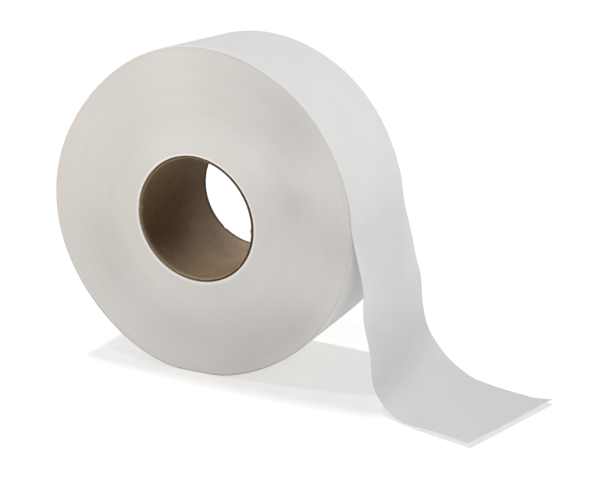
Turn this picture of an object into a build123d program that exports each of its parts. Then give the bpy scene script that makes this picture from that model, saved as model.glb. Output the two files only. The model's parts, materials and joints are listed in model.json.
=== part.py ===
from build123d import *
import math
import os

os.makedirs("parts", exist_ok=True)

# A jumbo toilet paper roll lying on its side. The core's axis is Y, with the origin on it at
# mid-width. Z is up and the free tail hangs on the +X side. Millimetres and degrees.

# Wound roll
roll_radius = 114.3
web_width = 90.0
sheet_thickness = 0.25
flat_spot_depth = 0.8

# Paperboard core, cut in one go with the web
core_bore_radius = 42.2
core_wall = 2.0

# Spiral band of turns that lie a little deeper on each end face
band_pitch = 13.2
band_width = 6.6
band_depth = 0.5
band_tip_width = 0.6
band_rim_land = 5.5
band_core_land = 4.0

# Free tail: it leaves the roll at a tangent, hangs, bends at a toe and runs along the floor
leave_angle = 11.5
nip_length = 9.0
stub_length = 14.0
toe_length = 82.0
floor_run = 22.0
lift_length = 16.0
lift_angle = 14.0
tail_turn = 17.5
toe_bank = 12.0
bank_lead = 45.0
bank_growth_length = 60.0
bank_fall_power = 1.5
section_pitch = 10.0
walk_step = 0.5

# Places worked out from the sizes above
core_radius = core_bore_radius + core_wall
floor_height = -(roll_radius - flat_spot_depth)
tail_floor_height = floor_height + sheet_thickness / 2
hang_slope = math.radians(90.0 - leave_angle)


def polar(radius, angle):
    """A point of the XZ section, its angle counted from +X towards +Z."""
    return (radius * math.cos(math.radians(angle)), radius * math.sin(math.radians(angle)))


def half_turns(crossings, start_angle, trim=0.0):
    """Half circles that wind inwards through the radii where they cross one line through the axis.

    Each centre lies on that line, so neighbouring arcs share a tangent. The last arc can
    stop short by an angle.
    """
    arcs = []
    last = len(crossings) - 2
    for index in range(last + 1):
        radius = (crossings[index] + crossings[index + 1]) / 2
        side = start_angle + 180.0 * index
        centre = polar(crossings[index] - radius, side)
        sweep = 180.0 - trim if index == last else 180.0
        arcs.append(Edge.make_circle(
            radius, Plane(origin=(centre[0], centre[1], 0.0)), side, side + sweep,
        ))
    return arcs


def section_face(edges):
    """A flat face in the XZ section from edges drawn in the XY plane."""
    return Plane.XZ * Face(Wire(edges))


def line(start, end):
    return Edge.make_line((start[0], start[1], 0.0), (end[0], end[1], 0.0))


def smooth(share):
    """A ramp from 0 to 1 that starts and ends level."""
    share = min(max(share, 0.0), 1.0)
    return share * share * (3.0 - 2.0 * share)


def wound_profile():
    """Section of the wound turns, with the first straight stretch of the tail.

    The outermost turn is one sheet higher at the tail than it is where it comes round
    under it, and the tail lies on the roll until the nip.
    """
    inner_radius = roll_radius - sheet_thickness
    tangent = polar(1.0, leave_angle - 90.0)
    nip_angle = math.degrees(math.atan2(nip_length, inner_radius))
    crossings = [roll_radius, roll_radius - sheet_thickness / 2, inner_radius]
    turn = half_turns(crossings, leave_angle, nip_angle)
    outer_foot = polar(roll_radius, leave_angle)
    inner_foot = polar(inner_radius, leave_angle)

    def along(foot, distance):
        return (foot[0] + distance * tangent[0], foot[1] + distance * tangent[1])

    turn_end = turn[-1].position_at(1)
    outer_end = along(outer_foot, stub_length)
    inner_end = along(inner_foot, stub_length)
    nip = along(inner_foot, nip_length)
    edges = [line(outer_end, outer_foot)]
    edges += turn
    edges.append(line((turn_end.X, turn_end.Y), nip))
    edges.append(line(nip, inner_end))
    edges.append(line(inner_end, outer_end))
    return section_face(edges)


def band_profile():
    """Section of the spiral band, tapered over half a turn at both ends."""
    outer_start = roll_radius - band_rim_land
    inner_limit = core_radius + band_core_land + band_width
    half_count = int((outer_start - inner_limit) / (band_pitch / 2))
    outer = [outer_start - index * band_pitch / 2 for index in range(half_count + 1)]
    inner = [radius - band_width for radius in outer]
    inner[0] = outer[0] - band_tip_width
    inner[-1] = outer[-1] - band_tip_width
    edges = half_turns(outer, leave_angle)
    edges += half_turns(inner, leave_angle)
    end_side = leave_angle + 180.0 * half_count
    edges.append(line(polar(outer[0], leave_angle), polar(inner[0], leave_angle)))
    edges.append(line(polar(outer[-1], end_side), polar(inner[-1], end_side)))
    return section_face(edges)


def toe_slope(share):
    """Angle below the horizontal at a share of the way round the toe."""
    return hang_slope * (1.0 - smooth(share))


def toe_drop():
    """Height that the tail loses round its toe."""
    count = round(toe_length / walk_step)
    step = toe_length / count
    return sum(step * math.sin(toe_slope((index + 0.5) / count)) for index in range(count))


leave_point = polar(roll_radius - sheet_thickness / 2, leave_angle)
hang_drop = leave_point[1] - tail_floor_height - toe_drop()
hang_length = hang_drop / math.sin(hang_slope)
toe_end = hang_length + toe_length
lift_start = toe_end + floor_run
tail_length = lift_start + lift_length


def tail_slope(along):
    """Angle below the horizontal of the tail at a distance from where it leaves the roll."""
    if along < toe_end:
        return toe_slope((along - hang_length) / toe_length)
    return -math.radians(lift_angle) * smooth((along - lift_start) / lift_length)


def tail_heading(along):
    """Turn of the tail about the vertical, all of it reached as the tail comes to the floor."""
    share = (along - stub_length) / (toe_end - stub_length)
    return math.radians(tail_turn) * smooth(share)


def tail_bank(along):
    """Lean of the tail about its own run.

    It grows down the end of the hang and dies out round the toe faster than the tail comes
    down, so that the lower edge meets the floor and never goes under it.
    """
    growth = smooth((along - hang_length + bank_lead) / bank_growth_length)
    rest = max(tail_slope(along), 0.0) / hang_slope
    return math.radians(toe_bank) * growth * rest ** bank_fall_power


def tail_forward(along):
    """Unit direction of the tail's run."""
    slope = tail_slope(along)
    heading = tail_heading(along)
    level = math.cos(slope)
    return Vector(level * math.cos(heading), -level * math.sin(heading), -math.sin(slope))


def tail_section(along, centre):
    """One crossways section of the tail, a strip of the sheet's width and thickness."""
    forward = tail_forward(along)
    heading = tail_heading(along)
    bank = tail_bank(along)
    across = Vector(math.sin(heading), math.cos(heading), 0.0)
    outward = forward.cross(across)
    width_way = across * math.cos(bank) - outward * math.sin(bank)
    frame = Plane(origin=centre, x_dir=width_way, z_dir=forward)
    return frame * Rectangle(web_width, sheet_thickness)


def free_tail():
    """The tail beyond its straight stub, one smooth loft through its sections."""
    section_count = round((tail_length - stub_length) / section_pitch)
    centre = Vector(leave_point[0], 0.0, leave_point[1])
    walked = 0.0
    sections = []
    for section in range(section_count + 1):
        station = stub_length + (tail_length - stub_length) * section / section_count
        steps = max(1, round((station - walked) / walk_step))
        step = (station - walked) / steps
        for index in range(steps):
            centre = centre + tail_forward(walked + step * (index + 0.5)) * step
        walked = station
        sections.append(tail_section(station, centre))
    return loft(sections)


def make_tissue_web():
    """The whole sheet: its wound turns and its free tail are one piece."""
    wound = extrude(wound_profile(), web_width / 2, both=True)
    wound -= Cylinder(core_radius, web_width * 2, rotation=(90, 0, 0))
    band = band_profile()
    for side in (-1, 1):
        face_height = side * web_width / 2
        cutter = extrude(Pos(0, face_height, 0) * band, band_depth, both=True)
        wound -= cutter
    below_floor = Box(
        roll_radius * 2, web_width * 2, roll_radius,
        align=(Align.CENTER, Align.CENTER, Align.MAX),
    )
    wound -= Pos(0, 0, floor_height) * below_floor
    return wound + free_tail()


def make_core_tube():
    """Plain paperboard tube, flush with the web at both ends."""
    outside = Cylinder(core_radius, web_width, rotation=(90, 0, 0))
    return outside - Cylinder(core_bore_radius, web_width * 2, rotation=(90, 0, 0))


for name, make in (("core_tube", make_core_tube), ("tissue_web", make_tissue_web)):
    export_step(make(), f"parts/{name}.step")
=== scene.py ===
import json
import math

import bpy
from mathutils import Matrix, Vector, noise


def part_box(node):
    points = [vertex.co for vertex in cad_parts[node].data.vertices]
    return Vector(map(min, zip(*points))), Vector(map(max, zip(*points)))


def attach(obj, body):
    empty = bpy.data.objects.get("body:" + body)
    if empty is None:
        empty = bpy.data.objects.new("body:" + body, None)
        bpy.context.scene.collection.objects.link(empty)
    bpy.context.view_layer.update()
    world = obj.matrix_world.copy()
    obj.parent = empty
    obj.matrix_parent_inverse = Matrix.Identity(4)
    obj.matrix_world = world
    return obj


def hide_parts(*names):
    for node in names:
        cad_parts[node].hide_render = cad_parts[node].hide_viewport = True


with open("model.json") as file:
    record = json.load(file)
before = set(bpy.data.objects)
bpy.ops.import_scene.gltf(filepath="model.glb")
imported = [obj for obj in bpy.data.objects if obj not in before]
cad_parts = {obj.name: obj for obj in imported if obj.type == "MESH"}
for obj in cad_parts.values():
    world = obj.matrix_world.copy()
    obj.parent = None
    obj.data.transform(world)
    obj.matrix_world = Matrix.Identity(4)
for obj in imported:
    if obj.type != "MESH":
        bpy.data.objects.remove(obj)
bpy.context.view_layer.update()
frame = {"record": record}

# A jumbo toilet paper roll lying on its side, with its free tail hanging off the right side and
# running out along the floor. Metres. The core's axis is Y and Z is up. Angles round the roll
# are counted from +X, where the tail hangs, towards +Z.

MM = 0.001
FULL_TURN = 2 * math.pi

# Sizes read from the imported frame
mounts = {mount["name"]: mount for mount in frame["record"]["mounts"]}
half_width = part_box("core_tube")[1].y
core_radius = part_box("core_tube")[1].x
bore_radius = mounts["core_bore"]["dims"]["r_mm"] * MM
floor_height = mounts["floor_flat"]["pos_m"][2]

# The roll's winding. The air is what lies between the turns that are drawn and the last turn
ROLL_RADIUS = 114.3 * MM
SHEET = 0.25 * MM
AIR = 0.04 * MM
WEB_WIDTH = 2 * half_width
LEAVE_ANGLE = math.radians(14.5)
TURNS_DRAWN = 54
RIM_ROUND = 1.5 * MM
# The soft roll gives way to the floor up to this height, and meets it in a curve of this size
PRESSED_HEIGHT = 12 * MM
FLOOR_EASE = 0.8 * MM

# How far the soft roll and its core are from true circles: waves round the circle, with the
# cosine and sine shares of the radius
ROLL_SWELL = ((2, 0.0, 0.0053), (3, -0.001, -0.0017), (4, 0.0063, -0.0021), (5, -0.0026, 0.0004))
CORE_SWELL = ((1, -0.012, -0.041), (2, 0.0104, -0.0144), (3, -0.0004, -0.0058))

# The free tail's route: distance from where it leaves the roll in millimetres, then in degrees
# its slope below the level, its turn towards the front and its lean to the back
TAIL_ROUTE = (
    (0, 75.5, 0, 0),
    (12, 82, 0, 1),
    (36, 75, 3, -2),
    (62, 78, 6, -5),
    (80, 82, 7, -3),
    (98, 79, 9, -6),
    (112, 74, 12.5, -9),
    (125, 57.5, 17.5, -10),
    (135, 41, 21.5, -9.5),
    (146, 26, 24, -7),
    (158, 13, 23.5, -4),
    (170, 4, 20, -2.5),
    (184, -1, 15, -2.5),
    (202, 0, 12.5, -2.5),
    (219, -17, 19.5, 0),
)
TAIL_LENGTH = TAIL_ROUTE[-1][0] * MM
LAST_TURN = FULL_TURN * (ROLL_RADIUS - SHEET)


def smooth(share):
    """A ramp from 0 to 1 that starts and ends level."""
    share = min(max(share, 0.0), 1.0)
    return share * share * (3 - 2 * share)


def along_keys(keys, place, column):
    """One column of a route at a distance in its first column, on a smooth curve through its points."""
    last = len(keys) - 1
    index = 0
    while index < last - 1 and keys[index + 1][0] <= place:
        index += 1
    before = keys[max(index - 1, 0)]
    start = keys[index]
    end = keys[index + 1]
    after = keys[min(index + 2, last)]
    gap = end[0] - start[0]
    start_rate = (end[column] - before[column]) / (end[0] - before[0])
    end_rate = (after[column] - start[column]) / (after[0] - start[0])
    share = min(max((place - start[0]) / gap, 0.0), 1.0)
    square = share * share
    cube = square * share
    value = (2 * cube - 3 * square + 1) * start[column] + (3 * square - 2 * cube) * end[column]
    value += (cube - 2 * square + share) * gap * start_rate
    return value + (cube - square) * gap * end_rate


def swell(waves, angle):
    """Share of the radius that these waves add at an angle."""
    return sum(c * math.cos(n * angle) + s * math.sin(n * angle) for n, c, s in waves)


# How far under the floor the roll would reach if it were not soft
LOWEST_ROUND = -ROLL_RADIUS * (1 + swell(ROLL_SWELL, 1.5 * math.pi)) - floor_height


def above_floor(height):
    """A height that is pressed up where it comes near the floor, in a soft curve that ends on it."""
    above = height - floor_height
    lifted = 0.5 * (above + math.hypot(above, FLOOR_EASE))
    lowest = 0.5 * (LOWEST_ROUND + math.hypot(LOWEST_ROUND, FLOOR_EASE))
    return floor_height + lifted - lowest * smooth(1 - above / PRESSED_HEIGHT)


def on_roll(radius, angle, across):
    """A point of the roll, out of round as the soft roll is and flat where it lies on the floor."""
    depth = min(max((radius - core_radius) / (ROLL_RADIUS - core_radius), 0.0), 1.0)
    grown = radius * (1 + swell(CORE_SWELL, angle) * (1 - depth) + swell(ROLL_SWELL, angle) * depth)
    rim_height = ROLL_RADIUS * (1 + swell(ROLL_SWELL, angle)) * math.sin(angle)
    if rim_height < floor_height + PRESSED_HEIGHT:
        squashed = above_floor(rim_height) / rim_height
        grown *= 1 - (1 - squashed) * depth ** 4
    return Vector((grown * math.cos(angle), across, grown * math.sin(angle)))


def uneven(x, y, z):
    """Smooth unevenness from -1 to 1."""
    return max(-1.0, min(1.0, noise.noise(Vector((x, y, z))) * 1.6))


# Work with Blender's own tools

MERGE_GAP = 0.002 * MM
SMOOTH_UNDER = math.radians(40)
ANGLE_SLACK = 1e-4


def deselect_all():
    for thing in bpy.context.selected_objects:
        thing.select_set(False)


def start_piece(name):
    """Names the primitive just added."""
    piece = bpy.context.active_object
    piece.name = name
    piece.data.name = name
    return piece


def edit(piece):
    """Opens a piece for editing with everything in it selected."""
    deselect_all()
    piece.select_set(True)
    bpy.context.view_layer.objects.active = piece
    bpy.ops.object.mode_set(mode="EDIT")
    bpy.ops.mesh.select_mode(type="VERT")
    bpy.ops.mesh.select_all(action="SELECT")


def close_edit():
    bpy.ops.object.mode_set(mode="OBJECT")


def lathe(name, outline, steps):
    """Turns a closed outline of (radius, across) points about the core's axis, and returns the
    piece with the points that end the turn, which are left unjoined to those that start it."""
    deselect_all()
    bpy.ops.mesh.primitive_circle_add(vertices=len(outline), radius=ROLL_RADIUS, fill_type="NOTHING")
    piece = start_piece(name)
    for vertex, (radius, across) in zip(piece.data.vertices, outline):
        vertex.co = (radius, across, 0)
    edit(piece)
    bpy.ops.mesh.spin(
        steps=steps, angle=FULL_TURN, center=(0, 0, 0), axis=(0, -1, 0), use_auto_merge=False,
    )
    close_edit()
    turn_end = {vertex.index for vertex in piece.data.vertices if vertex.select}
    return piece, turn_end


def turned(vertex, turn_end):
    """How far round its turn a point of a lathed piece is."""
    if vertex.index in turn_end:
        return FULL_TURN
    angle = math.atan2(vertex.co.z, vertex.co.x)
    return angle + FULL_TURN if angle < -ANGLE_SLACK else max(angle, 0.0)


def join_up(piece):
    """Joins the points that meet, turns the faces outwards and shades them smooth."""
    edit(piece)
    bpy.ops.mesh.remove_doubles(threshold=MERGE_GAP)
    bpy.ops.mesh.dissolve_degenerate(threshold=MERGE_GAP)
    bpy.ops.mesh.select_all(action="SELECT")
    bpy.ops.mesh.normals_make_consistent(inside=False)
    close_edit()
    bpy.ops.object.shade_smooth_by_angle(angle=SMOOTH_UNDER)


# The wound turns

BODY_STEPS = 256
FACE_RINGS = 2 * TURNS_DRAWN + 2
face_radius = ROLL_RADIUS - 2 * SHEET - RIM_ROUND
ring_spacing = (face_radius - core_radius) / FACE_RINGS
wound_spacing = (face_radius - core_radius) / (FACE_RINGS - 2)
RIM_STEPS = 6

# Relief of the end faces: grooves between turns, and turns and bands of turns that stand off
GROOVE_DEPTH = 0.1 * MM
TURN_SHIFT = 0.07 * MM
BAND_SHIFT = 0.14 * MM
RELIEF_TAPER_RINGS = 5

# The turns of the soft roll have drifted a little towards its back, most of them in a ring between
# these radii, which makes a shallow valley round the near face
VALLEY_START = 64 * MM
VALLEY_FLOOR = 94 * MM
VALLEY_END = 112 * MM
VALLEY_DEPTH = 1.3 * MM
# Broad patches where they have drifted more or less than that: x, z, spread and drift
DRIFT_PATCHES = (
    (96 * MM, 24 * MM, 15 * MM, -0.7 * MM),
    (52 * MM, -92 * MM, 26 * MM, 1.1 * MM),
    (70 * MM, 80 * MM, 22 * MM, 0.8 * MM),
    (-100 * MM, -30 * MM, 24 * MM, -0.6 * MM),
)
# Broad, faint patches of painted light and shade on the end faces, mostly paler high up and darker low
# down and towards the right, mixed with uneven tone where turns lie looser or tighter: x, z, spread and
# share
PAINTED_LIGHT_PATCHES = (
    (13 * MM, 50 * MM, 30 * MM, 0.12),
    (-25 * MM, 43 * MM, 14 * MM, 0.06),
    (47 * MM, 47 * MM, 9 * MM, 0.06),
    (-18 * MM, 100 * MM, 22 * MM, 0.07),
    (90 * MM, 33 * MM, 12 * MM, 0.07),
    (-85 * MM, 60 * MM, 20 * MM, 0.02),
    (75 * MM, 18 * MM, 9 * MM, -0.08),
    (-75 * MM, -20 * MM, 15 * MM, -0.08),
    (-36 * MM, -80 * MM, 15 * MM, -0.07),
    (38 * MM, -90 * MM, 27 * MM, -0.18),
    (80 * MM, -63 * MM, 14 * MM, -0.08),
    (50 * MM, 75 * MM, 20 * MM, -0.05),
    (109 * MM, -10 * MM, 12 * MM, -0.08),
    (76 * MM, 6 * MM, 22 * MM, -0.06),
    (-65 * MM, -48 * MM, 14 * MM, -0.09),
    (-8 * MM, -84 * MM, 13 * MM, -0.08),
    (66 * MM, -72 * MM, 14 * MM, -0.06),
    (74 * MM, 70 * MM, 15 * MM, -0.07),
    (14 * MM, 82 * MM, 15 * MM, -0.05),
)
# A thin ring of the innermost turns, beside the core, is painted paler: a painted highlight
CORE_RING_HIGHLIGHT = 0.26
INNER_TURN_WIDTH = 1.0 * MM
# Beside the core the end face is rounded off, and stands a little proud before that
CORE_GAP_WIDTH = 0.8 * MM
CORE_GAP_DEPTH = 0.3 * MM
CORE_LIP = 0.25 * MM


def turns_outline():
    """Closed section of the wound turns: front face, rim, tread, rim, back face and core side."""
    face = [(face_radius - ring * ring_spacing, -half_width) for ring in range(FACE_RINGS, -1, -1)]
    rim = []
    for step in range(1, RIM_STEPS):
        lean = math.radians(90 * step / RIM_STEPS)
        rim.append((
            face_radius + RIM_ROUND * math.sin(lean),
            -half_width + RIM_ROUND * (1 - math.cos(lean)),
        ))
    tread_edge = half_width - RIM_ROUND
    tread = [(face_radius + RIM_ROUND, tread_edge * share) for share in (-1, -0.5)]
    front = face + rim + tread
    back = [(radius, -across) for radius, across in reversed(front)]
    middle = [(face_radius + RIM_ROUND, 0.0)]
    core_side = [(core_radius, half_width * share) for share in (0.5, 0, -0.5)]
    return front + middle + back + core_side


def turn_drift(radius, angle):
    """How far a turn has drifted towards the back of the roll."""
    down = smooth((radius - VALLEY_START) / (VALLEY_FLOOR - VALLEY_START))
    up = smooth((radius - VALLEY_FLOOR) / (VALLEY_END - VALLEY_FLOOR))
    drift = VALLEY_DEPTH * (down - 0.5 * up)
    place_x = radius * math.cos(angle)
    place_z = radius * math.sin(angle)
    for x, z, spread, amount in DRIFT_PATCHES:
        apart = math.hypot(place_x - x, place_z - z) / spread
        drift += amount * math.exp(-0.5 * apart * apart)
    return drift


def painted_light_and_tone(radius, angle):
    """How pale the cut edges are painted, as a share of their usual tone: painted light and shade, and a
    painted highlight ring beside the core.
    """
    tone = 1.0 + CORE_RING_HIGHLIGHT * smooth(2 - (radius - core_radius) / INNER_TURN_WIDTH)
    for x, z, spread, amount in PAINTED_LIGHT_PATCHES:
        apart = math.hypot(radius * math.cos(angle) - x, radius * math.sin(angle) - z) / spread
        tone += amount * math.exp(-0.5 * apart * apart)
    return tone


def core_edge(radius):
    """How far an end face is set back near the core: its round edge, beside a slight lip."""
    from_core = (radius - core_radius) / CORE_GAP_WIDTH
    set_back = CORE_GAP_DEPTH * max(1 - from_core, 0) ** 2
    return set_back - CORE_LIP * smooth(from_core) * smooth(3 - from_core)


def fine_relief(ring_line, winding, angle):
    """How deep an end face lies between two turns, and how far one turn stands off its neighbours,
    from the place in the winding."""
    turn = winding / 2
    round_x = math.cos(angle)
    round_z = math.sin(angle)
    groove = 0.0
    if ring_line % 2:
        strength = 0.5 + 0.5 * uneven(turn * 0.73, round_x * 1.3, round_z * 1.3)
        groove = GROOVE_DEPTH * (0.15 + 0.85 * strength * strength)
    shift = TURN_SHIFT * (0.5 + 0.5 * uneven(turn * 0.9 + 20, round_x * 0.8, round_z * 0.8))
    band = BAND_SHIFT * (0.5 + 0.5 * uneven(turn * 0.105 + 3, round_x * 0.5, round_z * 0.5))
    taper = smooth((winding - 2) / RELIEF_TAPER_RINGS)
    taper *= smooth((FACE_RINGS - winding) / RELIEF_TAPER_RINGS)
    return groove * taper, (shift + band) * taper


def make_wound_turns():
    """The turns as one closed piece. Its rings run inwards as a spiral, two to a drawn turn, one
    on the turn and one between turns."""
    piece, turn_end = lathe("wound_turns", turns_outline(), BODY_STEPS)
    mesh = piece.data
    turn_count = mesh.attributes.new("turn", "FLOAT", "POINT")
    tone_mark = mesh.attributes.new("painted_light_and_tone", "FLOAT", "POINT")
    counts = []
    tones = []
    for vertex in mesh.vertices:
        spun = turned(vertex, turn_end)
        angle = LEAVE_ANGLE + spun
        radius = math.hypot(vertex.co.x, vertex.co.z)
        across = vertex.co.y
        ring = (face_radius - radius) / ring_spacing
        winding = ring + 2 * spun / FULL_TURN
        counts.append(winding / 2)
        if abs(across) > half_width - 0.001 * MM:
            side = math.copysign(1, across)
            inwards = min(max(winding - 2, 0.0), FACE_RINGS - 2)
            place = face_radius - inwards * wound_spacing
            groove, shift = fine_relief(round(ring), winding, angle)
            across += turn_drift(place, angle) + shift - side * (groove + core_edge(place))
            radius = place
        elif radius > face_radius:
            share = spun / FULL_TURN
            wound_down = share * smooth((0.99 - share) / 0.02)
            risen = (radius - face_radius) / RIM_ROUND
            radius += risen * (SHEET * (1 - wound_down) - AIR)
            across += turn_drift(face_radius, angle)
        tones.append(painted_light_and_tone(radius, angle))
        vertex.co = on_roll(radius, angle, across)
    turn_count.data.foreach_set("value", counts)
    tone_mark.data.foreach_set("value", tones)
    join_up(piece)
    return piece


# The last turn and the free tail, one sheet

SHEET_STEPS_ROUND = 264
SHEET_STEPS_TAIL = 150
SHEET_STEPS_ACROSS = 60
SHEET_SMOOTH_UNDER = math.radians(60)
WRAPPED_SHARE = 0.992
# The start of the turn is pressed in and tucked under the tail, clear of both rims
START_PRESSED = 0.6 * SHEET
START_TUCK = 0.025
# Closer lines of points along both edges
EDGE_STEPS = 5
EDGE_STEP = 0.35 * MM
# The tail clears the turns that it passes over down to here, and has shed their drift down to here
NIP_LENGTH = 40 * MM
NIP_EASE = 0.3 * MM
DRIFT_LENGTH = 50 * MM
# The sheet lies a hair above the floor and comes down to it in a soft curve
FLOOR_GAP = 0.06 * MM
TOUCH_EASE = 0.35 * MM
SOFT_WAVE = 0.22 * MM
TAIL_WAVE = 0.9 * MM
TAIL_WALK_STEP = 0.5 * MM

# Creases of the tail past its toe: place across, start, end and height in millimetres
CREASES = (
    (9, 112, 178, 0.26),
    (16, 118, 196, 0.5),
    (22, 108, 188, 0.42),
    (29, 122, 198, 0.52),
    (35, 116, 180, 0.36),
    (-12, 138, 176, 0.2),
)
CREASE_HALF = 1.9 * MM
CREASE_SLANT = 0.06
CREASE_WANDER = 0.8 * MM
CREASE_FADE = 22
# Where the near edge of the run stands a little up: distance, spread and height in millimetres
EDGE_LIFTS = ((168, 7, 1.5), (186, 8, -0.6))


def tail_directions(distance):
    """Run, width and outward directions of the tail at a distance from where it leaves the roll."""
    place = distance / MM
    slope, heading, lean = (math.radians(along_keys(TAIL_ROUTE, place, column)) for column in (1, 2, 3))
    level = math.cos(slope)
    run = Vector((level * math.cos(heading), -level * math.sin(heading), -math.sin(slope)))
    side = Vector((math.sin(heading), math.cos(heading), 0))
    outward = side.cross(run)
    width = side * math.cos(lean) - outward * math.sin(lean)
    return run, width, outward


def tail_line():
    """Middle line of the tail, walked along its directions in small steps."""
    points = [on_roll(ROLL_RADIUS - SHEET / 2, LEAVE_ANGLE, 0)]
    for index in range(round(TAIL_LENGTH / TAIL_WALK_STEP)):
        run = tail_directions((index + 0.5) * TAIL_WALK_STEP)[0]
        points.append(points[-1] + run * TAIL_WALK_STEP)
    return points


def on_line(points, distance):
    """The place at a distance along the middle line."""
    place = min(max(distance / TAIL_WALK_STEP, 0.0), len(points) - 1.001)
    index = int(place)
    return points[index].lerp(points[index + 1], place - index)


def tail_wave(distance, across):
    """How far the limp tail stands off its route: long waves, and a few creases past the toe."""
    free = smooth(distance / (60 * MM))
    edge = abs(across) / half_width
    wave = TAIL_WAVE * free * edge * uneven(distance / (38 * MM), across / (55 * MM), 4.0)
    for place, start, end, height in CREASES:
        along = distance / MM
        share = smooth((along - start) / CREASE_FADE) * smooth((end - along) / CREASE_FADE)
        middle = place * MM + CREASE_SLANT * (distance - start * MM)
        middle += CREASE_WANDER * uneven(distance / (17 * MM), place, 2.0)
        wave += height * MM * share * smooth(1 - abs(across - middle) / CREASE_HALF)
    for place, spread, height in EDGE_LIFTS:
        apart = (distance / MM - place) / spread
        wave += height * MM * math.exp(-0.5 * apart * apart) * smooth(-across / half_width - 0.3)
    return wave


def across_place(step):
    """Place across the sheet of a lengthwise line of points, closer together at both edges."""
    from_edge = min(step, SHEET_STEPS_ACROSS - step)
    if from_edge <= EDGE_STEPS:
        place = half_width - from_edge * EDGE_STEP
    else:
        inner_steps = SHEET_STEPS_ACROSS / 2 - EDGE_STEPS
        inner_half = half_width - EDGE_STEPS * EDGE_STEP
        place = inner_half * (1 - (from_edge - EDGE_STEPS) / inner_steps)
    return place if step > SHEET_STEPS_ACROSS / 2 else -place


def rest_on_floor(point):
    """Keeps a point of the sheet a hair above the floor."""
    lowest = floor_height + SHEET / 2 + FLOOR_GAP
    above = point.z - lowest
    point.z = max(lowest + 0.5 * (above + math.hypot(above, TOUCH_EASE) - TOUCH_EASE), lowest)
    return point


def rest_on_turns(point, distance):
    """Keeps a point of the tail just off the turns that it passes over before it hangs free."""
    angle = math.atan2(point.z, point.x)
    surface = on_roll(ROLL_RADIUS - SHEET / 2 + AIR, angle, 0).length
    above = math.hypot(point.x, point.z) - surface
    pushed = 0.5 * (above + math.hypot(above, NIP_EASE)) - above
    share = pushed * smooth(distance / (4 * MM)) / (surface + above)
    point.x *= 1 + share
    point.z *= 1 + share
    return point


def over_rim(across, held):
    """Where the sheet lies across the roll, and how far it dips, as it bends over the round rim."""
    beyond = max(abs(across) - half_width + RIM_ROUND, 0.0)
    bend = beyond / RIM_ROUND
    pulled = abs(across) - held * (beyond - RIM_ROUND * math.sin(bend))
    return math.copysign(pulled, across), held * RIM_ROUND * (1 - math.cos(bend))


def make_last_turn_and_tail():
    """The outermost turn and the tail: a flat strip at its cut size, wound once round and draped."""
    deselect_all()
    steps_long = SHEET_STEPS_ROUND + SHEET_STEPS_TAIL
    bpy.ops.mesh.primitive_grid_add(
        x_subdivisions=steps_long, y_subdivisions=SHEET_STEPS_ACROSS, size=1,
    )
    piece = start_piece("last_turn_and_tail")
    mesh = piece.data
    points = tail_line()
    flat_places = []
    for vertex in mesh.vertices:
        column = round((vertex.co.x + 0.5) * steps_long)
        across = across_place(round((vertex.co.y + 0.5) * SHEET_STEPS_ACROSS))
        if column <= SHEET_STEPS_ROUND:
            share = (1 - column / SHEET_STEPS_ROUND) * WRAPPED_SHARE
            distance = -share * LAST_TURN
            angle = LEAVE_ANGLE + share * FULL_TURN
            radius = ROLL_RADIUS - SHEET * (0.5 + share) - START_PRESSED * smooth((share - 0.96) / 0.03)
            loose = 0.5 + 0.5 * uneven(distance / (45 * MM), across / (60 * MM), 9.0)
            loose *= math.sin(share * math.pi)
            tucked = across * (1 - START_TUCK * smooth((share - 0.955) / 0.03))
            lying, dip = over_rim(tucked, smooth(share / 0.04))
            radius += SOFT_WAVE * loose - dip
            lying += turn_drift(face_radius, angle)
            vertex.co = rest_on_floor(on_roll(radius, angle, lying))
        else:
            distance = (column - SHEET_STEPS_ROUND) / SHEET_STEPS_TAIL * TAIL_LENGTH
            run, width, outward = tail_directions(distance)
            middle = on_line(points, distance)
            place = middle + width * across + outward * tail_wave(distance, across)
            place.y += turn_drift(face_radius, LEAVE_ANGLE) * smooth(1 - distance / DRIFT_LENGTH)
            if distance < NIP_LENGTH:
                place = rest_on_turns(place, distance)
            vertex.co = rest_on_floor(place)
        flat_places.append((distance, across))
    cut_map = mesh.uv_layers.active.uv
    for loop in mesh.loops:
        cut_map[loop.index].vector = flat_places[loop.vertex_index]
    edit(piece)
    bpy.ops.mesh.normals_make_consistent(inside=False)
    close_edit()
    wall = piece.modifiers.new("wall", "SOLIDIFY")
    wall.thickness = SHEET
    wall.offset = 0
    wall.use_even_offset = True
    bpy.ops.object.modifier_apply(modifier=wall.name)
    bpy.ops.object.shade_smooth_by_angle(angle=SHEET_SMOOTH_UNDER)
    return piece


# The paperboard core

CORE_STEPS = 240
WALL_STEPS = 24
CORNER = 0.5 * MM
END_ROUGHNESS = 0.12 * MM
# The board is pressed thinner at both ends
END_TAPER = 1.1 * MM
END_TAPER_LENGTH = 2.4 * MM
# The seam of the inside ply: where it starts, how far round it runs, its depth and half-width
SEAM_ANGLE = math.radians(200)
SEAM_TWIST = math.radians(118)
SEAM_DEPTH = 0.16 * MM
SEAM_HALF = 1.1 * MM
# Nicks and dents of the near rim, then the far rim: angle, half-width, depth into the board's end,
# and how far the corner is pushed in
RIM_NICKS = (
    (
        (176, 4.0, 0.9 * MM, 0.7 * MM),
        (200, 2.6, 0.8 * MM, -0.6 * MM),
        (138, 3.2, 0.3 * MM, 0.6 * MM),
        (95, 4.2, 0.6 * MM, -0.5 * MM),
        (80, 3.4, 0.9 * MM, 0.8 * MM),
        (354, 4.6, 0.7 * MM, 0.9 * MM),
        (318, 2.8, 0.3 * MM, -0.4 * MM),
    ),
    (
        (112, 2.6, 0.6 * MM, 0.4 * MM),
        (231, 3.0, 0.3 * MM, -0.4 * MM),
        (20, 2.0, 0.5 * MM, 0.3 * MM),
        (285, 2.4, 0.4 * MM, 0.4 * MM),
    ),
)


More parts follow.
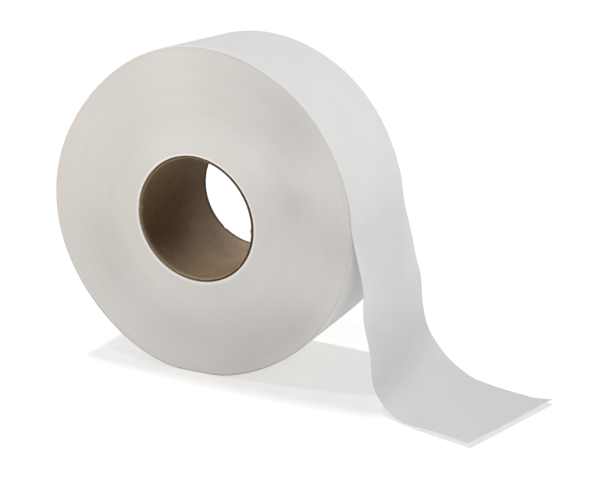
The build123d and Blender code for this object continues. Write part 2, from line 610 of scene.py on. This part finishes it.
def core_outline():
    """Closed section of the board: inner wall, rims with worn corners, and outer wall."""
    edge = half_width - CORNER
    inner = [(bore_radius, edge * (1 - 2 * step / WALL_STEPS)) for step in range(WALL_STEPS + 1)]
    mid = CORNER * (1 - math.sqrt(0.5))
    front = [
        (bore_radius + mid, -half_width + mid),
        (bore_radius + CORNER, -half_width),
        ((bore_radius + core_radius) / 2, -half_width),
        (core_radius - END_TAPER, -half_width + 0.2 * MM),
        (core_radius - END_TAPER / 2, -half_width + END_TAPER_LENGTH / 2),
        (core_radius, -half_width + END_TAPER_LENGTH),
    ]
    outer = [(core_radius, edge * share) for share in (-0.5, 0, 0.5)]
    back = [(radius, -across) for radius, across in reversed(front)]
    return inner + front + outer + back


def nick(angle, side):
    """How deep the board's end is nicked at an angle, and how far its corner is pushed in."""
    depth = 0.0
    push = 0.0
    for place, half, deep, pushed in RIM_NICKS[0 if side < 0 else 1]:
        apart = (math.degrees(angle) - place + 180) % 360 - 180
        share = smooth(1 - abs(apart) / half)
        depth += deep * share
        push += pushed * share
    return depth, push


def make_core():
    """Spiral-wound board tube. Its long edges run along the seam of the inside ply."""
    piece, turn_end = lathe("spiral_board_core", core_outline(), CORE_STEPS)
    end_mark = piece.data.attributes.new("cut_end", "FLOAT", "POINT")
    corner_mark = piece.data.attributes.new("lit_and_worn_corner", "FLOAT", "POINT")
    ends = []
    corners = []
    for vertex in piece.data.vertices:
        spun = turned(vertex, turn_end)
        radius = math.hypot(vertex.co.x, vertex.co.z)
        across = vertex.co.y
        twist = SEAM_TWIST * (across + half_width) / WEB_WIDTH
        angle = SEAM_ANGLE + spun + twist
        from_seam = min(spun, FULL_TURN - spun) * radius
        opened = smooth(1 - from_seam / SEAM_HALF)
        on_bore = radius < bore_radius + 1.1 * CORNER
        at_end = abs(across) > half_width - 1.1 * CORNER
        cut = radius > bore_radius + 0.9 * CORNER or across > half_width - 0.9 * CORNER
        # The cut ends are marked for a darker colour: in the gap beside the tissue this is painted shade
        ends.append(1.0 if at_end and cut else 0.0)
        # Only the inner corner at the near end is marked: a painted highlight, partly rubbed wear
        corners.append(1.0 if at_end and on_bore and ends[-1] == 0.0 and across < 0 else 0.0)
        if on_bore:
            radius += SEAM_DEPTH * opened
        if at_end:
            side = math.copysign(1, across)
            rough = 0.5 + 0.5 * uneven(math.cos(angle) * 9, math.sin(angle) * 9, side * 4)
            depth, push = nick(angle, side)
            across -= side * (END_ROUGHNESS * rough + 0.5 * SEAM_DEPTH * opened + depth)
            radius -= push
        vertex.co = on_roll(radius, angle, across)
    end_mark.data.foreach_set("value", ends)
    corner_mark.data.foreach_set("value", corners)
    join_up(piece)
    return piece


# Materials

# Where the last turn is painted a little darker and warmer, as distances back from where the tail leaves
# the roll: it begins under the hanging tail, runs past the floor and ends low on the left side
LOW_TONE_BEGINS = (-645 * MM, -590 * MM)
LOW_TONE_ENDS = (-500 * MM, -400 * MM)
# The sheet's edges are painted greyer, a painted shade: where that begins and where it is full, from the
# edge
RIM_SHADE_BEGINS = 1.5 * MM
RIM_SHADE_FULL = 0.2 * MM
# The far end of the bore is painted darker, a painted shade: where it begins and where it is full, from the
# end
FAR_SHADE_BEGINS = 4.2 * MM
FAR_SHADE_FULL = 2.4 * MM


def paint(code):
    """Linear colour of an sRGB hex value."""
    parts = [int(code[place:place + 2], 16) / 255 for place in (1, 3, 5)]
    return [p / 12.92 if p <= 0.04045 else ((p + 0.055) / 1.055) ** 2.4 for p in parts] + [1.0]


def add(tree, kind, inputs=None, **settings):
    """Adds one shader node with its settings. An input is a value, or the socket that feeds it."""
    node = tree.nodes.new(kind)
    for name, value in settings.items():
        setattr(node, name, value)
    for name, value in (inputs or {}).items():
        if isinstance(value, bpy.types.NodeSocket):
            tree.links.new(value, node.inputs[name])
        else:
            node.inputs[name].default_value = value
    return node


def new_material(name):
    material = bpy.data.materials.new(name)
    material.use_nodes = True
    material.node_tree.nodes.clear()
    return material, material.node_tree


def two_ply_tissue():
    """Two-ply creped tissue, off the machine and calendered: matt, soft and nearly white, with
    faint crepe lines across the web and a slight cloudiness where fibres bunch."""
    material, tree = new_material("two_ply_creped_tissue")
    cut = add(tree, "ShaderNodeUVMap", uv_map="UVMap")
    # Crepe lines are about 0.3 mm apart; they are drawn 1.1 mm apart, so that they show
    crepe_place = add(tree, "ShaderNodeMapping", {0: cut.outputs[0], 3: (900, 90, 1)})
    crepe = add(tree, "ShaderNodeTexNoise", {"Vector": crepe_place.outputs[0], "Scale": 1.0, "Detail": 3.0})
    cloud = add(tree, "ShaderNodeTexNoise", {"Vector": cut.outputs[0], "Scale": 34.0, "Detail": 4.0})
    fibre = add(tree, "ShaderNodeTexNoise", {"Vector": cut.outputs[0], "Scale": 420.0, "Detail": 2.0})
    tone = add(tree, "ShaderNodeMix", {
        0: cloud.outputs["Fac"], 6: paint("#F4F4F4"), 7: paint("#FAFAFA"),
    }, data_type="RGBA")
    speck = add(tree, "ShaderNodeMapRange", {
        "Value": fibre.outputs["Fac"], "From Min": 0.3, "From Max": 0.7, "To Min": 0.975, "To Max": 1.015,
    })
    # The free tail is painted greyer along its length, from where it hangs down to where it runs on the
    # floor
    along = add(tree, "ShaderNodeSeparateXYZ", {0: cut.outputs[0]})
    greyer_along_tail = add(tree, "ShaderNodeMapRange", {
        "Value": along.outputs[0], "From Min": 15 * MM, "From Max": 150 * MM,
        "To Min": 1.0, "To Max": 0.86,
    }, interpolation_type="SMOOTHSTEP")
    # Low down, where the roll lies, the last turn is painted a little darker and warmer
    low_tone_begins = add(tree, "ShaderNodeMapRange", {
        "Value": along.outputs[0], "From Min": LOW_TONE_BEGINS[0], "From Max": LOW_TONE_BEGINS[1],
    }, interpolation_type="SMOOTHSTEP")
    low_tone_ends = add(tree, "ShaderNodeMapRange", {
        "Value": along.outputs[0], "From Min": LOW_TONE_ENDS[0], "From Max": LOW_TONE_ENDS[1],
        "To Min": 1.0, "To Max": 0.0,
    }, interpolation_type="SMOOTHSTEP")
    low_tone = add(tree, "ShaderNodeMath", {
        0: low_tone_begins.outputs[0], 1: low_tone_ends.outputs[0],
    }, operation="MULTIPLY")
    low_warm_tone = add(tree, "ShaderNodeMix", {
        0: low_tone.outputs[0], 6: tone.outputs[2], 7: paint("#EAE8E2"),
    }, data_type="RGBA")
    # There the painted shade on the sheet's edges is deeper, as grey as the ends of the pile
    painted_shade = add(tree, "ShaderNodeMapRange", {
        "Value": low_tone_ends.outputs[0], "To Min": 0.93, "To Max": 0.78,
    })
    # Painted shade along both edges of the sheet, over the rounded rim and down the tail
    from_middle = add(tree, "ShaderNodeMath", {0: along.outputs[1]}, operation="ABSOLUTE")
    rim_shade = add(tree, "ShaderNodeMapRange", {
        "Value": from_middle.outputs[0],
        "From Min": half_width - RIM_SHADE_BEGINS, "From Max": half_width - RIM_SHADE_FULL,
        "To Min": 1.0, "To Max": painted_shade.outputs[0],
    }, interpolation_type="SMOOTHSTEP")
    greyer = add(tree, "ShaderNodeMath", {0: rim_shade.outputs[0], 1: greyer_along_tail.outputs[0]}, operation="MULTIPLY")
    grey = add(tree, "ShaderNodeMath", {0: speck.outputs[0], 1: greyer.outputs[0]}, operation="MULTIPLY")
    colour = add(tree, "ShaderNodeMix", {
        0: 1.0, 6: low_warm_tone.outputs[2], 7: grey.outputs[0],
    }, data_type="RGBA", blend_type="MULTIPLY")
    height = add(tree, "ShaderNodeMath", {
        0: crepe.outputs["Fac"], 1: fibre.outputs["Fac"],
    }, operation="ADD")
    bump = add(tree, "ShaderNodeBump", {
        "Height": height.outputs[0], "Strength": 0.25, "Distance": 0.12 * MM,
    })
    shader = add(tree, "ShaderNodeBsdfPrincipled", {
        "Base Color": colour.outputs[2], "Normal": bump.outputs[0], "Roughness": 0.95,
        "IOR": 1.46, "Specular IOR Level": 0.15, "Sheen Weight": 0.08, "Sheen Roughness": 0.6,
    })
    through = add(tree, "ShaderNodeBsdfTranslucent", {
        "Color": colour.outputs[2], "Normal": bump.outputs[0],
    })
    # Light goes through the free tail; on the roll the pile under the sheet sends it back
    lit_through = add(tree, "ShaderNodeMapRange", {
        "Value": along.outputs[0], "From Min": -10 * MM, "From Max": 50 * MM, "To Min": 0.2, "To Max": 0.4,
    }, interpolation_type="SMOOTHSTEP")
    both = add(tree, "ShaderNodeMixShader", {
        0: lit_through.outputs[0], 1: shader.outputs[0], 2: through.outputs[0],
    })
    add(tree, "ShaderNodeOutputMaterial", {"Surface": both.outputs[0]})
    return material


def wound_tissue_edges():
    """The cut edges of several hundred turns side by side: matt and a little creamier than the
    flat sheet, with fine lines that follow the turns."""
    material, tree = new_material("slit_edges_of_wound_tissue")
    turn = add(tree, "ShaderNodeAttribute", attribute_name="turn")
    place = add(tree, "ShaderNodeTexCoord")
    apart = add(tree, "ShaderNodeSeparateXYZ", {0: place.outputs["Object"]})
    # A turn is 0.11 mm; the fine lines are drawn about 0.5 mm wide, so that they show
    fine_place = add(tree, "ShaderNodeCombineXYZ", {
        0: turn.outputs["Fac"],
        1: apart.outputs[0],
        2: apart.outputs[2],
    })
    fine_scale = add(tree, "ShaderNodeMapping", {0: fine_place.outputs[0], 3: (2.6, 14, 14)})
    fine = add(tree, "ShaderNodeTexNoise", {"Vector": fine_scale.outputs[0], "Scale": 1.0, "Detail": 2.0})
    wide_scale = add(tree, "ShaderNodeMapping", {0: fine_place.outputs[0], 3: (0.13, 9, 9)})
    wide = add(tree, "ShaderNodeTexNoise", {"Vector": wide_scale.outputs[0], "Scale": 1.0, "Detail": 1.0})
    tone = add(tree, "ShaderNodeMix", {
        0: wide.outputs["Fac"], 6: paint("#CCCBC9"), 7: paint("#D2D1CF"),
    }, data_type="RGBA")
    line = add(tree, "ShaderNodeMapRange", {
        "Value": fine.outputs["Fac"], "From Min": 0.3, "From Max": 0.7, "To Min": 0.98, "To Max": 1.01,
    })
    # The end faces' painted light and shade, and the painted highlight ring beside the core, come from this
    # mark
    painted_light_mark = add(tree, "ShaderNodeAttribute", attribute_name="painted_light_and_tone")
    share = add(tree, "ShaderNodeMath", {
        0: line.outputs[0], 1: painted_light_mark.outputs["Fac"],
    }, operation="MULTIPLY")
    colour = add(tree, "ShaderNodeMix", {
        0: 1.0, 6: tone.outputs[2], 7: share.outputs[0],
    }, data_type="RGBA", blend_type="MULTIPLY")
    bump = add(tree, "ShaderNodeBump", {
        "Height": fine.outputs["Fac"], "Strength": 0.3, "Distance": 0.15 * MM,
    })
    shader = add(tree, "ShaderNodeBsdfPrincipled", {
        "Base Color": colour.outputs[2], "Normal": bump.outputs[0], "Roughness": 0.97,
        "IOR": 1.46, "Specular IOR Level": 0.1, "Sheen Weight": 0.08, "Sheen Roughness": 0.6,
    })
    add(tree, "ShaderNodeOutputMaterial", {"Surface": shader.outputs[0]})
    return material


def kraft_board():
    """Recycled kraft paperboard, glued up from spiral strips: matt brown and mottled, with short
    fibres, darker on its cut ends, where light sinks in between the plies and, in the gap beside the
    tissue, by painted shade, paler on the inner corner at the near end, partly where it is rubbed and
    partly by a painted highlight, and painted darker at the far end of the bore, a painted shade."""
    material, tree = new_material("recycled_kraft_paperboard")
    place = add(tree, "ShaderNodeTexCoord")
    mottle = add(tree, "ShaderNodeTexNoise", {
        "Vector": place.outputs["Object"], "Scale": 130.0, "Detail": 5.0,
    })
    # Fibres are 1 to 3 mm long and lie mostly round the tube
    fibre_place = add(tree, "ShaderNodeMapping", {0: place.outputs["Object"], 3: (1, 2.2, 1)})
    fibre = add(tree, "ShaderNodeTexNoise", {
        "Vector": fibre_place.outputs[0], "Scale": 620.0, "Detail": 3.0, "Roughness": 0.7,
    })
    tone = add(tree, "ShaderNodeMix", {
        0: mottle.outputs["Fac"], 6: paint("#6A543B"), 7: paint("#806A4D"),
    }, data_type="RGBA")
    cut_end = add(tree, "ShaderNodeAttribute", attribute_name="cut_end")
    lit_and_worn_corner = add(tree, "ShaderNodeAttribute", attribute_name="lit_and_worn_corner")
    # Darker cut ends, partly the board's own end and partly painted shade in the gap beside the tissue
    with_ends = add(tree, "ShaderNodeMix", {
        0: cut_end.outputs["Fac"], 6: tone.outputs[2], 7: paint("#4E3F2E"),
    }, data_type="RGBA")
    # Paler inner corner at the near end: a painted highlight, partly rubbed wear
    with_corners = add(tree, "ShaderNodeMix", {
        0: lit_and_worn_corner.outputs["Fac"], 6: with_ends.outputs[2], 7: paint("#907C61"),
    }, data_type="RGBA")
    # The far end of the bore is painted darker, a painted shade that shows as a dark line round the far rim
    apart = add(tree, "ShaderNodeSeparateXYZ", {0: place.outputs["Object"]})
    painted_shade = add(tree, "ShaderNodeMapRange", {
        "Value": apart.outputs[1],
        "From Min": half_width - FAR_SHADE_BEGINS, "From Max": half_width - FAR_SHADE_FULL,
    }, interpolation_type="SMOOTHSTEP")
    with_far_shade = add(tree, "ShaderNodeMix", {
        0: painted_shade.outputs[0], 6: with_corners.outputs[2], 7: paint("#2E2419"),
    }, data_type="RGBA")
    fleck = add(tree, "ShaderNodeMapRange", {
        "Value": fibre.outputs["Fac"], "From Min": 0.3, "From Max": 0.7, "To Min": 0.72, "To Max": 1.24,
    })
    colour = add(tree, "ShaderNodeMix", {
        0: 1.0, 6: with_far_shade.outputs[2], 7: fleck.outputs[0],
    }, data_type="RGBA", blend_type="MULTIPLY")
    bump = add(tree, "ShaderNodeBump", {
        "Height": fibre.outputs["Fac"], "Strength": 0.3, "Distance": 0.1 * MM,
    })
    shader = add(tree, "ShaderNodeBsdfPrincipled", {
        "Base Color": colour.outputs[2], "Normal": bump.outputs[0], "Roughness": 0.85,
        "IOR": 1.5, "Specular IOR Level": 0.25,
    })
    add(tree, "ShaderNodeOutputMaterial", {"Surface": shader.outputs[0]})
    return material


def sweep_paper():
    """Matt white studio paper, lit a little from under so that shadows on it stay pale."""
    material, tree = new_material("white_sweep_paper")
    shader = add(tree, "ShaderNodeBsdfPrincipled", {
        "Base Color": paint("#E7E7E7"), "Roughness": 1.0, "Specular IOR Level": 0.0,
        "Emission Color": paint("#FFFFFF"), "Emission Strength": 0.38,
    })
    add(tree, "ShaderNodeOutputMaterial", {"Surface": shader.outputs[0]})
    return material


# Studio

FLOOR_SIZE = 40
MIDDLE = (0, 0, 0)
WHITE = "#FFFFFF"
COOL = "#ECF2FF"


def make_floor():
    deselect_all()
    bpy.ops.mesh.primitive_plane_add(size=FLOOR_SIZE, location=(0, 0, floor_height))
    floor = start_piece("sweep_floor")
    bpy.ops.object.transform_apply(location=True, rotation=True, scale=True)
    floor.data.materials.append(sweep_paper())
    return floor


def make_softbox(name, place, target, wide, power, colour):
    """A square soft light of a width at a place, turned to face a target, and out of the picture."""
    light = bpy.data.lights.new(name, "AREA")
    light.shape = "SQUARE"
    light.size = wide
    light.energy = power
    light.color = paint(colour)[:3]
    lamp = bpy.data.objects.new(name, light)
    bpy.context.scene.collection.objects.link(lamp)
    lamp.location = place
    lamp.rotation_euler = (Vector(target) - Vector(place)).to_track_quat("-Z", "Y").to_euler()
    lamp.visible_camera = False
    return lamp


def make_sun(name, towards, spread, power):
    """A distant white light, from the direction that it stands in and with the angle that it fills."""
    light = bpy.data.lights.new(name, "SUN")
    light.angle = math.radians(spread)
    light.energy = power
    lamp = bpy.data.objects.new(name, light)
    bpy.context.scene.collection.objects.link(lamp)
    lamp.rotation_euler = Vector(towards).to_track_quat("Z", "Y").to_euler()
    return lamp


def light_studio(turns, sheet, tube, floor):
    """A light tent over the roll and two soft key lights high at the left, one a little behind
    and a weak one a little in front. The tissue has a pale softbox at the right, a warm one at the
    near left and a low one at the near right, which reaches in under the tail. The core's inside is
    lit through both of its ends, by two softboxes from behind and one from the front, and the tent
    leaves it alone so that its far side stays deep."""
    world = bpy.data.worlds.new("white_studio")
    bpy.context.scene.world = world
    world.use_nodes = True
    world.node_tree.nodes.clear()
    sky = add(world.node_tree, "ShaderNodeBackground", {"Color": paint(WHITE), "Strength": 0.05})
    add(world.node_tree, "ShaderNodeOutputWorld", {"Surface": sky.outputs[0]})
    make_sun("front_key", (-0.22, -0.24, 1), 6, 0.31)
    make_sun("back_key", (-0.22, 0.08, 1), 6, 1.04)
    tent_lights = (make_sun("light_tent", (0, 0, 1), 180, 1.18),)
    tissue_lights = (
        make_softbox("right_softbox", (1.5, 0.1, 0.35), (0.1, 0, 0), 1.0, 4.3, "#FFFDF8"),
        make_softbox("near_left_softbox", (-0.3, -0.35, 0.2), MIDDLE, 0.2, 0.42, "#FFDEB2"),
        make_softbox("near_right_softbox", (0.6, -1.04, 0.1), MIDDLE, 0.9, 3.3, WHITE),
    )
    core_lights = (
        make_softbox("core_back_softbox", (0, 1.06, 1.06), MIDDLE, 0.8, 25, COOL),
        make_softbox("core_back_left_softbox", (-0.84, 0.48, 1.15), MIDDLE, 0.8, 28, COOL),
        make_softbox("core_front_softbox", (-0.65, -1.12, 0.75), MIDDLE, 0.8, 26, WHITE),
    )
    for name, lamps, pieces in (
        ("in_the_tent", tent_lights, (turns, sheet, floor)),
        ("lit_tissue", tissue_lights, (turns, sheet)),
        ("lit_core", core_lights, (tube,)),
    ):
        lit = bpy.data.collections.new(name)
        for piece in pieces:
            lit.objects.link(piece)
        for lamp in lamps:
            lamp.light_linking.receiver_collection = lit
    bpy.context.scene.view_settings.view_transform = "Standard"


# The photograph's camera, on a 36 mm sensor: its lens, its place, and its angles in degrees
CAMERA_LENS = 71.9
CAMERA_PLACE = (0.3958, -0.7088, 0.2182)
CAMERA_LOOKS_DOWN = 16.86
CAMERA_STANDS_ROUND = 25.69


def make_camera():
    """The photograph's camera, fitted to the roll's rims."""
    data = bpy.data.cameras.new("photo_camera")
    data.sensor_width = 36.0
    data.lens = CAMERA_LENS
    camera = bpy.data.objects.new("photo_camera", data)
    bpy.context.scene.collection.objects.link(camera)
    camera.location = CAMERA_PLACE
    camera.rotation_euler = (math.radians(90 - CAMERA_LOOKS_DOWN), 0, math.radians(CAMERA_STANDS_ROUND))
    bpy.context.scene.camera = camera


make_camera()
floor = make_floor()

wound_turns = make_wound_turns()
wound_turns.data.materials.append(wound_tissue_edges())
last_turn_and_tail = make_last_turn_and_tail()
last_turn_and_tail.data.materials.append(two_ply_tissue())
core = make_core()
core.data.materials.append(kraft_board())
light_studio(wound_turns, last_turn_and_tail, core, floor)

for piece, node, slot in (
    (wound_turns, "tissue_web", "tissue"),
    (last_turn_and_tail, "tissue_web", "tissue"),
    (core, "core_tube", "core_board"),
):
    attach(piece, "root")
    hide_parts(node)
